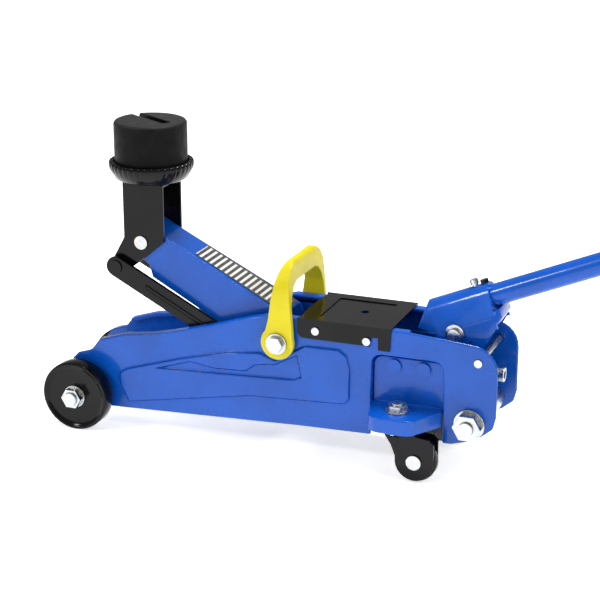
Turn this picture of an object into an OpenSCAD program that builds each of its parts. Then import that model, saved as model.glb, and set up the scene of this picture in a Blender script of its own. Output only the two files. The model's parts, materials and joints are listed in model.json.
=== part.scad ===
// Compact two-tonne hydraulic trolley jack.
// X runs from the saddle end to the handle end, Z is up, and the floor is Z = 0.
// Every station is measured from the front axle, then the whole jack is moved
// so that the origin is the middle of its footprint on the floor.

/* [Frame] */
// Distance from the front axle to the main shaft
front_span = 238.6; // [200:0.1:290]
// Distance from the main shaft to the rear edge of the side plates
rear_span = 135.9; // [125:0.1:165]
// Width over the outside of the two side plates
frame_w = 70.6; // [64:0.1:86]
// Thickness of the side plates
plate_t = 3; // [2.5:0.1:3.6]
// Height of the level top of the side plates
plate_top_z = 122.3; // [119:0.1:126]
// Height of the main shaft
shaft_z = 71.3; // [68:0.1:74]
// How far the top flange reaches in from the outside of a plate
flange_reach = 9; // [7:0.1:9.2]
// How far the pressed panel stands out of a plate
panel_h = 1.8; // [0.8:0.1:2.5]

/* [Front wheels] */
// Radius of a front wheel
wheel_r = 31; // [27:0.5:37]
// Width of a front wheel
wheel_w = 15; // [12:0.5:18]
// Gap between a side plate and its front wheel
wheel_gap = 3.3; // [2.5:0.1:5]
// Radius of the front axle
axle_r = 6; // [5:0.1:7]

/* [Lifting arm] */
// Length from the front pin to the main shaft
arm_len = 210; // [176:0.5:240]
// Rise of the arm above the horizontal in the stored position
arm_rise = 27.3; // [20:0.1:34]
// Half width of the arm at its front end
arm_front_hw = 16.3; // [15:0.1:17]
// Half width of the arm at its rear end
arm_rear_hw = 20.4; // [19:0.1:20.6]
// Sheet thickness of the arm
arm_t = 3; // [2.5:0.1:4]
// Radius of the main shaft
shaft_r = 8; // [7:0.1:9]
// Radius of the front pin
pin_r = 5.5; // [4.5:0.1:6]
// Height of the arm's top face above the line of its pins
arm_top = 15.8; // [14:0.1:17]
// Depth of the arm's side walls below the line of its pins
arm_drop = 23.5; // [20:0.1:25]
// Distance of the ram's line below the main shaft
crank_h = 26.5; // [25:0.1:28]

/* [Links and saddle] */
// Forward offset of a link pivot from the arm pivot beside it
link_dx = 22.3; // [20:0.1:25]
// Downward offset of a link pivot from the arm pivot beside it
link_dz = 22.6; // [20:0.1:25]
// Radius of a link's ends, and half its height
link_r = 9; // [8:0.1:10]
// Thickness of a link
link_t = 3.4; // [3:0.1:4]
// Radius of the link pivots
link_pin_r = 5; // [4:0.1:6]
// Sheet thickness of the saddle bracket
bracket_t = 2.4; // [2:0.1:3]
// Height of the bracket's top above the arm's front pin
bracket_rise = 52.3; // [46:0.1:62]
// Radius of the saddle cup's rim
cup_r = 36.6; // [34:0.1:42]
// Height of the saddle cup
cup_h = 17; // [13:0.1:20]
// Radius of the rubber pad
pad_r = 31.4; // [28:0.1:32]
// Height of the rubber pad
pad_h = 47.5; // [40:0.5:57]
// Width of the slot across the pad
pad_slot_w = 8.5; // [6:0.5:11]
// Depth of the slot across the pad
pad_slot_d = 6; // [4:0.5:8]

/* [Cover and carry handle] */
// Length of the cover plate
cover_len = 82; // [76:0.5:86]
// Sheet thickness of the cover plate
cover_t = 1.5; // [1.2:0.1:2.5]
// Depth of the cover's side flanges
cover_drop = 17; // [15:0.1:20]
// Height from the carry handle's bolts to the top of its grip
carry_h = 68; // [62:0.5:82]
// Radius of the carry handle's eyes
eye_r = 14.6; // [13:0.1:16]
// Thickness of the carry handle's arms
carry_t = 5.2; // [4:0.1:6]
// Radius of the carry handle's bolts
carry_bolt_r = 4; // [3:0.1:5]

/* [Rear casters] */
// Radius of a caster wheel
caster_r = 18; // [15:0.1:20]
// Width of a caster wheel
caster_w = 9.6; // [8:0.1:11]
// Distance from the king pin back to the wheel's centre
caster_trail = 17.2; // [15:0.1:18]
// Distance from the outside of a side plate out to the king pin
king_out = 11.7; // [11:0.1:14]
// Height of the bracket's shelf
shelf_z = 58; // [56:0.1:62]
// Depth of the pocket behind the bracket
pocket_depth = 8; // [7:0.1:9]
// Sheet thickness of the caster brackets
shelf_t = 3; // [2.5:0.1:3.5]
// Radius of the king pins
king_r = 5; // [4:0.1:6]

/* [Hydraulic unit] */
// Radius of the ram
ram_r = 9; // [7:0.1:10]
// Outside radius of the cylinder
cyl_r = 16.5; // [15:0.1:17]
// Half width of the pump block
block_hw = 19; // [17:0.1:20]
// Radius of the pump plunger
plunger_r = 4.5; // [4:0.1:5]

/* [Handle] */
// Elevation of the handle in the stored position
handle_rise = 23; // [15:0.1:30]
// Radius of the handle tube
tube_r = 9.3; // [7.5:0.1:10]
// Wall thickness of the handle tube
tube_t = 1.5; // [1:0.1:2]
// Length of the handle outside its socket
handle_out = 420; // [350:1:500]
// Length of the handle's grip
grip_len = 115; // [90:1:135]
// Half width of the socket's skirt
socket_hw = 20; // [19:0.1:23]
// Sheet thickness of the socket
socket_t = 2.5; // [2:0.1:3]

/* [Hidden] */
$fn = 48;
run_fit = 0.06;
bracket_hw = arm_front_hw + 0.3 + bracket_t;
sheet_gap = 0.3;
eps = 0.01;
hull_fn = 32;

half_w = frame_w / 2;
inner_w = half_w - plate_t;
shaft_x = front_span;
rear_x = front_span + rear_span;

// Front pin of the arm, and the same offset to the link pivot at both ends
pin_x = shaft_x - arm_len * cos(arm_rise);
pin_z = shaft_z + arm_len * sin(arm_rise);
link_front = [pin_x - link_dx, pin_z - link_dz];
link_rear = [shaft_x - link_dx, shaft_z - link_dz];
link_len = norm(link_front - link_rear);

// Links run just outside the arm, inside the flanges of the side plates
link_y = max(bracket_hw + 1.2, arm_rear_hw + 1.6);
pivot_plate_t = 5.5;
pivot_plate_y = inner_w - pivot_plate_t;

// Front axle
wheel_y = half_w + panel_h + wheel_gap;
wheel_out_y = wheel_y + wheel_w;
dish_r = wheel_r - 4;
dish_d = 2.4;
hub_r = 11;
spacer_t = 2.5;
washer_t = 2;
nut_h = 6.5;
nut_r = 9.4;
stud_end = 2.5;

// Rear tie rod
tie_x = rear_x - 21.6;
tie_z = 50.3;
tie_r = 6;
tie_spacer_r = 11.5;
tie_washer_r = 13;
tie_nut_r = 12;
tie_nut_h = 9;
cross_x = rear_x - 16;
cross_z = 103.7;
cross_r = 2.6;

// Cover plate
cover_hw = half_w + cover_t + eps * 2;
cover_x0 = shaft_x - 35.6;
cover_x1 = cover_x0 + cover_len;
cover_z = plate_top_z + cover_t;
cover_notch_x = cover_x1 - 14;
cover_screw = [cover_x0 + 16.4, cover_x0 + 61.2];
cover_screw_z = [plate_top_z - 8.1, plate_top_z - 11.3];
cover_screw_r = 2.5;
cover_hole_r = 3.5;
cover_dish_d = 1.6;
cover_bow_r = 300;
cover_bow = asin((cover_hw - 6) / cover_bow_r);

// Carry handle
carry_x = shaft_x - 51.7;
carry_z = plate_top_z - 21.4;
carry_y = half_w + panel_h + sheet_gap;
carry_lean = 4.5;
carry_bolt_head_r = 9.2;

// Casters
pocket_x = rear_x - 75.5;
king_x = rear_x - 79.5;
king_y = half_w + king_out;
fork_gap = 0.5;
fork_t = 2.2;
fork_hw = caster_w / 2 + fork_gap + fork_t;
pocket_hw = 31;
pocket_y = half_w - pocket_depth;
pocket_top_z = 100;
pocket_r = 9;
race_h = 5;
race_r = 15.5;
yoke_top_z = shelf_z - shelf_t - race_h;
yoke_r = 16.2;
yoke_end_r = caster_r - 1.5;
caster_axle_r = 4;
caster_rivet_r = 6.4;
shelf_x0 = pocket_x - pocket_hw + 0.5;
shelf_x1 = pocket_x + pocket_hw - 0.5;
shelf_y = king_y + 20.4;
shelf_y_rear = half_w + 3;
lip_h = 13;
shelf_r = 12;
rivet_x = 12.6;
rivet_z = 90.5;
rivet_r = 4;

// Handle and its socket, drawn along the handle with the pivot at the origin
pivot_x = rear_x - 40.5;
pivot_z = plate_top_z - 1.3;
pivot_r = 5;
lug_r = 7.8;
axis_v = lug_r + tube_r + 0.4;
sleeve_r = tube_r + 0.25 + socket_t;
socket_u0 = -34;
socket_u1 = 36;
skirt_u1 = 41;
tube_u0 = -12;
handle_u1 = socket_u1 + handle_out;
grip_t = 2.6;
handle_x1 = pivot_x + handle_u1 * cos(handle_rise) - (axis_v - tube_r - grip_t) * sin(handle_rise);
mid_x = (handle_x1 - wheel_r) / 2;

// Pump roller and plunger behind the socket's pivot
roller_dx = 13.5;
roller_dz = -7.1;
roller_r = 6.5;
roller_pin_r = 3;
plunger_x = pivot_x + roller_dx + 1;
plunger_y = -8;
plunger_top_z = pivot_z + roller_dz - roller_r - 0.4;
barrel_r = 7.5;
barrel_top_z = 90;
barrel_z0 = 64;
lug_hw = 7;
valve_y = 9;
valve_z = 80;
valve_r = 4;
valve_head_r = 6;
valve_x1 = rear_x - 5;

// Hydraulic unit
ram_z = shaft_z - crank_h;
cross_pin_r = 6;
cyl_x0 = shaft_x + 27;
gland_l = 8;
block_x1 = rear_x - 36.5;
block_x0 = block_x1 - 30;
block_top_z = 87;
block_z0 = 25;
tank_x0 = cyl_x0 + 6;
tank_z0 = ram_z + cyl_r + 1.5;
tank_z1 = 88;
tank_hw = 18;

// ---- helpers ----

// Points along an arc, in an outline
function arc(c, r, a0, a1, n = 8) =
    [for (i = [0:n]) c + r * [cos(a0 + (a1 - a0) * i / n), sin(a0 + (a1 - a0) * i / n)]];

// The jack's own place, with the origin in the middle of its footprint
module jack() translate([-mid_x, 0, 0]) children();

// An X-Z outline made solid between two Y planes
module slab(y0, y1) translate([0, y1, 0]) rotate([90, 0, 0]) linear_extrude(y1 - y0) children();

// A round bar along Y
module bar_y(p, r, y0, y1) translate([p[0], y1, p[1]]) rotate([90, 0, 0]) cylinder(r = r, h = y1 - y0);

// A round bar along X
module bar_x(x0, x1, y, z, r) translate([x0, y, z]) rotate([0, 90, 0]) cylinder(r = r, h = x1 - x0);

// A hexagon bar along Y
module hex_y(p, r, y0, y1) translate([p[0], y1, p[1]]) rotate([90, 0, 0]) cylinder(r = r, h = y1 - y0, $fn = 6);

// The same piece on both sides
module pair() {
    children();
    mirror([0, 1, 0]) children();
}

// A round wire coil along Z, as one tube of short straight stretches
module coil(r, wire, len, turns) {
    steps = turns * 12;
    sides = 6;
    pts = [for (i = [0:steps], k = [0:sides - 1])
        let (a = 30 * i, b = 360 * k / sides, q = r + wire * cos(b))
        [q * cos(a), q * sin(a), wire + (len - 2 * wire) * i / steps + wire * sin(b)]];
    around = [for (i = [0:steps - 1], k = [0:sides - 1])
        [i * sides + k, i * sides + (k + 1) % sides, (i + 1) * sides + (k + 1) % sides, (i + 1) * sides + k]];
    start = [[for (k = [sides - 1:-1:0]) k]];
    finish = [[for (k = [0:sides - 1]) steps * sides + k]];
    polyhedron(points = pts, faces = concat(around, start, finish), convexity = 6);
}

// ---- side plates ----

// Top edge of a plate, from the nose back to where the level stretch ends
function plate_top() = [
    [-11, 59], [-5, 65], [6, 68.5], [9, 70.5], [16, 79.5], [41, 87.5], [66, 91], [85, 95.5],
    [123, 106], [shaft_x - 79.6, 117.5], [shaft_x - 62, plate_top_z],
    [rear_x - 75, plate_top_z], [rear_x - 40, plate_top_z - 2.4]
];

function plate_outline() = concat(
    arc([0, wheel_r], 14, 270, 165, 10),
    plate_top(),
    arc([rear_x - 22, plate_top_z - 26], 22, 78, 0, 6),
    [[rear_x, 58], [rear_x - 2.5, 48], [rear_x - 12, 40], [rear_x - 24, 34],
        [rear_x - 37, 30.2], [shaft_x - 33.6, 26.5]]
);

// Pressed panel along the middle of a plate
function panel_outline() = [
    [44, 26], [36, 43], [36, 52], [43.7, 56.7], [94, 72.6], [137, 84], [169, 88], [183, 83],
    [shaft_x - 28.6, 99.4], [shaft_x + 1, 100], [shaft_x + 8, 95], [shaft_x + 11, 84],
    [shaft_x + 10.4, 57], [shaft_x + 6, 52.6], [160, 48]
];

// Wedge sunk into the panel
function wedge_outline() = [
    [72, 61], [104, 71.5], [127, 68.5], [156, 70], [165, 77], [183, 79.5], [shaft_x - 36, 90],
    [shaft_x - 32, 71], [shaft_x - 38.6, 68]
];

// Arch-shaped pocket that lets the caster turn, open at the bottom
function pocket_outline(grow, z0) = concat(
    [[pocket_x - pocket_hw - grow, z0]],
    arc([pocket_x - pocket_hw + pocket_r, pocket_top_z - pocket_r], pocket_r + grow, 180, 90, 6),
    arc([pocket_x + pocket_hw - pocket_r, pocket_top_z - pocket_r], pocket_r + grow, 90, 0, 6),
    [[pocket_x + pocket_hw + grow, z0]]
);

// A band under the top edge, which is the turned-in flange
function flange_outline() =
    let (top = [for (p = plate_top()) if (p[0] > 12 && p[0] < rear_x - 60) p])
    concat(top, [for (i = [len(top) - 1:-1:0]) top[i] - [0, plate_t + 0.3]]);

module side_plate() {
    difference() {
        union() {
            difference() {
                union() {
                    slab(-half_w, -inner_w) polygon(plate_outline());
                    slab(-half_w - panel_h, -half_w + 0.6) polygon(panel_outline());
                }
                slab(-half_w - panel_h - 1, -half_w - 0.05) polygon(wedge_outline());
                slab(-half_w - 1, -inner_w + 1) polygon(pocket_outline(0, -1));
            }
            slab(-half_w + 0.6, -half_w + flange_reach) polygon(flange_outline());
            difference() {
                slab(-half_w + 0.6, -pocket_y + plate_t) polygon(pocket_outline(plate_t, shelf_z - shelf_t));
                slab(-half_w - 1, -pocket_y) polygon(pocket_outline(0, -1));
            }
        }
        bar_y([0, wheel_r], axle_r + run_fit, -half_w - 5, -inner_w + 5);
        bar_y([tie_x, tie_z], tie_r + run_fit, -half_w - 5, -inner_w + 5);
        bar_y([cross_x, cross_z], cross_r + run_fit, -half_w - 5, -inner_w + 5);
        bar_y([carry_x, carry_z], carry_bolt_r + run_fit, -half_w - 5, -inner_w + 5);
        for (i = [0, 1]) bar_y([cover_screw[i], cover_screw_z[i]], cover_screw_r + run_fit, -half_w - 5, -inner_w + 5);
        for (s = [-1, 1]) bar_y([pocket_x + s * rivet_x, rivet_z], rivet_r + run_fit, -half_w - 5, 0);
    }
}

module side_plate_left() color("royalblue") jack() side_plate();
module side_plate_right() color("royalblue") jack() mirror([0, 1, 0]) side_plate();

// Thick plates welded inside, which carry the main shaft and the link pivots
module pivot_plates() color("royalblue") jack() pair() difference() {
    slab(-inner_w, -pivot_plate_y) polygon(concat(
        arc([shaft_x, shaft_z], 17, 60, -20, 6),
        [[shaft_x + 8, 36], [link_rear[0] - 4, 34]],
        arc(link_rear, 13, 235, 150, 5),
        [[shaft_x - 20, shaft_z + 13]]
    ));
    bar_y([shaft_x, shaft_z], shaft_r + run_fit, -inner_w - 1, -pivot_plate_y + 1);
    bar_y(link_rear, link_pin_r + run_fit, -inner_w - 1, -pivot_plate_y + 1);
}

// ---- axles and ties ----

module front_axle() color("silver") jack() {
    y1 = wheel_out_y - dish_d + washer_t + nut_h + stud_end;
    bar_y([0, wheel_r], axle_r, -y1, y1);
}

module front_axle_spacer() color("silver") jack() difference() {
    bar_y([0, wheel_r], axle_r + spacer_t, -inner_w, inner_w);
    bar_y([0, wheel_r], axle_r + run_fit, -inner_w - 1, inner_w + 1);
}

// One washer under each nut, and a collar between each plate and its wheel
module axle_washers() color("gainsboro") jack() pair() {
    y0 = wheel_out_y - dish_d + sheet_gap;
    difference() {
        bar_y([0, wheel_r], hub_r - 1, -y0 - washer_t, -y0);
        bar_y([0, wheel_r], axle_r + run_fit, -y0 - washer_t - 1, -y0 + 1);
    }
    difference() {
        bar_y([0, wheel_r], axle_r + spacer_t, -wheel_y + sheet_gap, -half_w);
        bar_y([0, wheel_r], axle_r + run_fit, -wheel_y, -half_w + 1);
    }
    difference() {
        bar_y([tie_x, tie_z], tie_washer_r, -half_w - washer_t, -half_w);
        bar_y([tie_x, tie_z], tie_r + run_fit, -half_w - washer_t - 1, -half_w + 1);
    }
}

module axle_nuts() color("gainsboro") jack() pair() {
    y0 = wheel_out_y - dish_d + sheet_gap + washer_t;
    difference() {
        hex_y([0, wheel_r], nut_r, -y0 - nut_h, -y0);
        bar_y([0, wheel_r], axle_r + run_fit, -y0 - nut_h - 1, -y0 + 1);
    }
    difference() {
        hex_y([tie_x, tie_z], tie_nut_r, -half_w - washer_t - tie_nut_h, -half_w - washer_t);
        bar_y([tie_x, tie_z], tie_r + run_fit, -half_w - washer_t - tie_nut_h - 1, -half_w - washer_t + 1);
    }
}

module rear_tie_rod() color("silver") jack() {
    y1 = half_w + washer_t + tie_nut_h + stud_end;
    bar_y([tie_x, tie_z], tie_r, -y1, y1);
}

module rear_tie_spacer() color("lightgray") jack() difference() {
    bar_y([tie_x, tie_z], tie_spacer_r, -inner_w, inner_w);
    bar_y([tie_x, tie_z], tie_r + run_fit, -inner_w - 1, inner_w + 1);
}

// Small pin through both plates, with its ends riveted over
module rear_cross_pin() color("silver") jack() {
    bar_y([cross_x, cross_z], cross_r, -half_w - 0.5, half_w + 0.5);
    pair() bar_y([cross_x, cross_z], cross_r + 0.8, -half_w - 1, -half_w);
}

module main_shaft() color("silver") jack() bar_y([shaft_x, shaft_z], shaft_r, -inner_w, inner_w);

// Stub pins with a head on the inside that keeps the link on
module link_rear_pins() color("silver") jack() pair() {
    bar_y(link_rear, link_pin_r, -inner_w, -link_y + 0.6);
    bar_y(link_rear, link_pin_r + 1.5, -link_y + 0.2, -link_y + 1);
}

// ---- cover plate ----

// Top of the cover, with its front edge cut back for the raised arm
function cover_top() = concat(
    [[cover_x1, -cover_hw], [cover_x1, cover_hw], [cover_x0, cover_hw]],
    arc([cover_x0 + cover_bow_r, 0], cover_bow_r, 180 - cover_bow, 180 + cover_bow, 8),
    [[cover_x0, -cover_hw]]
);

function cover_side() = concat(
    [[cover_x0, cover_z]],
    arc([cover_x0 + 6, cover_z - cover_drop + 6], 6, 180, 270, 5),
    [[cover_notch_x - 4, cover_z - cover_drop], [cover_notch_x - 4, cover_z - 9],
        [cover_notch_x + 3, cover_z - 9], [cover_notch_x + 3, cover_z - cover_drop - 2.5],
        [cover_x1 - 1, cover_z - cover_drop - 2.5], [cover_x1, cover_z]]
);

module cover_plate() color("dimgray") jack() difference() {
    union() {
        translate([0, 0, plate_top_z + eps]) linear_extrude(cover_t) polygon(cover_top());
        pair() slab(-cover_hw, -cover_hw + cover_t) polygon(cover_side());
    }
    translate([cover_x0 + 16, -26, cover_z - cover_dish_d / 2]) cube([51, 52, cover_t]);
    translate([shaft_x + 11.4, 0, plate_top_z - 1]) cylinder(r = cover_hole_r, h = cover_t + 2);
    for (i = [0, 1]) bar_y([cover_screw[i], cover_screw_z[i]], cover_screw_r + run_fit, -cover_hw - 1, cover_hw + 1);
}

module cover_screws() color("silver") jack() pair() for (i = [0, 1]) {
    p = [cover_screw[i], cover_screw_z[i]];
    bar_y(p, cover_screw_r, -cover_hw - 1, -inner_w + 4);
    bar_y(p, cover_screw_r + 1, -cover_hw - 1.6, -cover_hw);
}

// ---- carry handle ----

// Side view of the handle, with its eye at the origin
module carry_side() polygon(concat(
    arc([0, 0], eye_r, 18, -224, 16),
    [[-8, 20], [-5.6, carry_h * 0.55], [-1.5, carry_h - 11], [1, carry_h - 3], [3, carry_h],
        [7, carry_h], [9.5, carry_h - 3], [11.5, carry_h * 0.5], [12.8, 20]]
));

// Front view of the handle: straight arms that run into a deep arched grip
module carry_front() {
    y1 = carry_y + carry_t;
    outer = [[y1, -eye_r - 1], [y1, carry_h - 26], [y1 - 1.5, carry_h - 15], [y1 - 7, carry_h - 6.5],
        [y1 - 15, carry_h - 1.5], [y1 - 22, carry_h]];
    inner = [[carry_y, -eye_r - 1], [carry_y, carry_h - 36], [carry_y - 3, carry_h - 28],
        [carry_y - 8, carry_h - 21], [carry_y - 16, carry_h - 17.5]];
    polygon(concat(
        outer, [for (i = [len(outer) - 1:-1:0]) [-outer[i][0], outer[i][1]]],
        [for (p = inner) [-p[0], p[1]]], [for (i = [len(inner) - 1:-1:0]) inner[i]]
    ));
}

module carry_handle() color("gold") jack() translate([carry_x, 0, carry_z]) difference() {
    intersection() {
        slab(-100, 100) carry_side();
        rotate([90, 0, 90]) translate([0, 0, -50]) linear_extrude(100) carry_front();
    }
    bar_y([0, 0], carry_bolt_r + run_fit, -100, 100);
}

// Bolt through each eye, its washer-faced head outside and its nut inside the plate
module carry_handle_bolts() color("gainsboro") jack() pair() {
    p = [carry_x, carry_z];
    y1 = carry_y + carry_t + sheet_gap;
    bar_y(p, carry_bolt_r, -y1 - eps, -inner_w + 8);
    bar_y(p, carry_bolt_head_r, -y1 - 1.8, -y1);
    hex_y(p, carry_bolt_head_r * 0.8, -y1 - 6, -y1 - 1.8 + eps);
    difference() {
        hex_y(p, carry_bolt_head_r * 0.8, -inner_w, -inner_w + 5.5);
        bar_y(p, carry_bolt_r + run_fit, -inner_w - 1, -inner_w + 7);
    }
}

// ---- casters ----

// Shelf seen from above: deep round the king pin, cut back at a slant behind it
function shelf_outline(inset) = concat(
    [[shelf_x1 - inset, -pocket_y + 1], [shelf_x1 - inset, -shelf_y_rear]],
    arc([king_x + 10, -shelf_y + shelf_r], shelf_r - inset, -20, -90, 5),
    arc([king_x - 22 + shelf_r - inset * 0, -shelf_y + shelf_r], shelf_r - inset, -90, -180, 5),
    [[shelf_x0 + inset, -half_w], [shelf_x0 + inset, -pocket_y + 1]]
);

// Pressed bracket: back plate in the pocket, shelf, and a skirt round the shelf
module caster_bracket() difference() {
    union() {
        slab(-pocket_y - shelf_t, -pocket_y - eps) polygon(concat(
            [[shelf_x0, shelf_z - shelf_t]],
            arc([shelf_x0 + 8, pocket_top_z - 10], 8, 180, 90, 5),
            arc([shelf_x1 - 8, pocket_top_z - 10], 8, 90, 0, 5),
            [[shelf_x1, shelf_z - shelf_t]]
        ));
        intersection() {
            translate([0, 0, shelf_z - shelf_t]) linear_extrude(shelf_t) polygon(shelf_outline(0));
            translate([0, -100 - pocket_y - eps, 0]) cube([1000, 100, 200]);
        }
        difference() {
            translate([0, 0, shelf_z - lip_h]) linear_extrude(lip_h - 1) polygon(shelf_outline(0));
            translate([0, 0, shelf_z - lip_h - 1]) linear_extrude(lip_h + 2) polygon(shelf_outline(shelf_t));
            translate([0, -half_w - 0.4, -1]) cube([1000, 50, 200]);
        }
    }
    translate([king_x, -king_y, shelf_z - shelf_t - 1]) cylinder(r = king_r + run_fit, h = shelf_t + 2);
    for (s = [-1, 1]) bar_y([pocket_x + s * rivet_x, rivet_z], rivet_r + run_fit, -half_w, 0);
}

module caster_bracket_left() color("royalblue") jack() caster_bracket();
module caster_bracket_right() color("royalblue") jack() mirror([0, 1, 0]) caster_bracket();

module caster_bracket_rivets() color("royalblue") jack() pair() for (s = [-1, 1]) {
    p = [pocket_x + s * rivet_x, rivet_z];
    bar_y(p, rivet_r, -pocket_y - shelf_t - 1, -pocket_y + plate_t);
    bar_y(p, rivet_r + 2, -pocket_y - shelf_t - 2, -pocket_y - shelf_t);
}

// King pin with its head under the yoke and its nut on the shelf
module king_bolts() color("gainsboro") jack() pair() translate([king_x, -king_y, 0]) {
    z0 = yoke_top_z - fork_t - sheet_gap - 2.5;
    translate([0, 0, z0]) cylinder(r = king_r, h = shelf_z + 7.5 - z0);
    translate([0, 0, z0]) cylinder(r = king_r + 2.5, h = 2.5);
    difference() {
        translate([0, 0, shelf_z]) cylinder(r = 10, h = 1.6);
        translate([0, 0, shelf_z - 1]) cylinder(r = king_r + run_fit, h = 3);
    }
    difference() {
        translate([0, 0, shelf_z + 1.6]) cylinder(r = 8.6, h = 4.4, $fn = 6);
        translate([0, 0, shelf_z]) cylinder(r = king_r + run_fit, h = 8);
    }
}

// Ball race under the shelf: a cup turned down over a ring of balls
module king_bearings() color("silver") jack() pair() translate([king_x, -king_y, 0]) {
    z1 = shelf_z - shelf_t;
    difference() {
        translate([0, 0, z1 - race_h + sheet_gap]) cylinder(r = race_r, h = race_h - sheet_gap);
        translate([0, 0, z1 - race_h]) cylinder(r = race_r - 1.6, h = race_h - 1.2);
        translate([0, 0, z1 - race_h - 1]) cylinder(r = king_r + run_fit, h = race_h + 2);
    }
    for (i = [0:9]) rotate(36 * i) translate([(king_r + race_r - 1) / 2, 0, z1 - race_h / 2 - 0.3])
        sphere(r = race_h / 2 - 0.7, $fn = 24);
}

// Side view of a fork cheek, with the king pin at X = 0
function yoke_side() = concat(
    arc([caster_trail, caster_r], yoke_end_r, 0, -190, 14),
    [[-3, caster_r + 13], [-9, yoke_top_z - 10], [-yoke_r + 2, yoke_top_z - 6], [-yoke_r + 2, yoke_top_z - 0.5],
        [yoke_r - 2, yoke_top_z - 0.5], [yoke_r - 2, yoke_top_z - 6], [yoke_r + 2, yoke_top_z - 9.5],
        [caster_trail + yoke_end_r - 4, yoke_top_z - 11], [caster_trail + yoke_end_r, yoke_top_z - 15]]
);

module caster_yoke() translate([king_x, -king_y, 0]) difference() {
    union() {
        for (s = [-1, 1]) translate([0, s * (fork_hw - fork_t / 2), 0])
            slab(-fork_t / 2, fork_t / 2) polygon(yoke_side());
        translate([0, 0, yoke_top_z - 7]) difference() {
            cylinder(r = yoke_r, h = 7);
            translate([0, 0, -1]) cylinder(r = yoke_r - fork_t, h = 8 - fork_t);
        }
    }
    translate([0, 0, yoke_top_z - fork_t - 1]) cylinder(r = king_r + 0.08, h = fork_t + 2);
    translate([0, 0, yoke_top_z - 12]) cylinder(r = king_r + 3.2, h = 12 - fork_t);
    bar_y([caster_trail, caster_r], caster_axle_r + run_fit, -fork_hw - 1, fork_hw + 1);
}

module caster_axle() translate([king_x, -king_y, 0]) {
    bar_y([caster_trail, caster_r], caster_axle_r, -fork_hw, fork_hw);
    pair() bar_y([caster_trail, caster_r], caster_rivet_r, -fork_hw - 1.8, -fork_hw);
}

module caster_wheel() translate([king_x + caster_trail, -king_y, caster_r]) rotate([90, 0, 0])
    rotate_extrude() polygon([
        [caster_axle_r + run_fit, -caster_w / 2], [7, -caster_w / 2], [8, -caster_w / 2 + 1],
        [caster_r - 4, -caster_w / 2 + 1], [caster_r - 3, -caster_w / 2], [caster_r - 1, -caster_w / 2],
        [caster_r, -caster_w / 2 + 1.5], [caster_r, caster_w / 2 - 1.5], [caster_r - 1, caster_w / 2],
        [caster_r - 3, caster_w / 2], [caster_r - 4, caster_w / 2 - 1], [8, caster_w / 2 - 1],
        [7, caster_w / 2], [caster_axle_r + run_fit, caster_w / 2]
    ]);

module caster_yoke_left() color("black") jack() caster_yoke();
module caster_yoke_right() color("black") jack() mirror([0, 1, 0]) caster_yoke();
module caster_axle_left() color("gainsboro") jack() caster_axle();
module caster_axle_right() color("gainsboro") jack() mirror([0, 1, 0]) caster_axle();
module caster_wheel_left() color("dimgray") jack() caster_wheel();
module caster_wheel_right() color("dimgray") jack() mirror([0, 1, 0]) caster_wheel();

// ---- front wheels ----

module front_wheel() translate([0, -wheel_y, wheel_r]) rotate([90, 0, 0]) rotate_extrude() polygon([
    [axle_r + run_fit, 0], [hub_r, 0], [hub_r + 1.5, dish_d], [dish_r - 1, dish_d], [dish_r, 0],
    [wheel_r - 1.2, 0], [wheel_r, 1.2], [wheel_r, wheel_w - 1.2], [wheel_r - 1.2, wheel_w],
    [dish_r + 1, wheel_w], [dish_r - 1, wheel_w - dish_d], [axle_r + run_fit, wheel_w - dish_d]
]);

module front_wheel_left() color("black") jack() front_wheel();
module front_wheel_right() color("black") jack() mirror([0, 1, 0]) front_wheel();

// ---- lifting arm ----

// The arm's own frame: the main shaft at the origin, the front pin at -arm_len along X
module arm_frame() translate([shaft_x, 0, shaft_z]) rotate([0, arm_rise, 0]) children();

web_end = arm_len - 70;
arm_straight = 26;
slot_len = 3.3;
slot_play = 0.4;
nose_r = 15.8;

// Side view of a cheek: nose, side wall, hub and the crank that the ram pushes
function cheek() = concat(
    arc([-arm_len, 0], nose_r, 230, 90, 12),
    [[-arm_len + web_end + 1, arm_top], [-55, 4], [-14, 8]],
    arc([0, 0], 14, 120, 10, 6),
    arc(crank_tip(), 10.5, arm_rise, arm_rise - 160, 8),
    [[-14, -14], [-44, -16], [-70, -arm_drop], [-arm_len + 22, -arm_drop], [-arm_len + 14, -nose_r + 1]]
);

// Middle of the crank's slot, straight under the shaft when the arm is at rest
function crank_tip() = (crank_h + slot_len / 2) * [sin(arm_rise), -cos(arm_rise)];

// The left wall seen from above: straight at the nose, then splayed out to the hub
function wall_plan() = [
    [-arm_len - 30, -arm_front_hw], [-arm_len + arm_straight, -arm_front_hw],
    [-arm_len + web_end, -arm_rear_hw], [60, -arm_rear_hw], [60, -arm_rear_hw + arm_t],
    [-arm_len + web_end, -arm_rear_hw + arm_t], [-arm_len + arm_straight, -arm_front_hw + arm_t],
    [-arm_len - 30, -arm_front_hw + arm_t]
];

module cheek_wall() intersection() {
    translate([0, 0, -90]) linear_extrude(180) polygon(wall_plan());
    slab(-60, 0) polygon(cheek());
}

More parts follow.
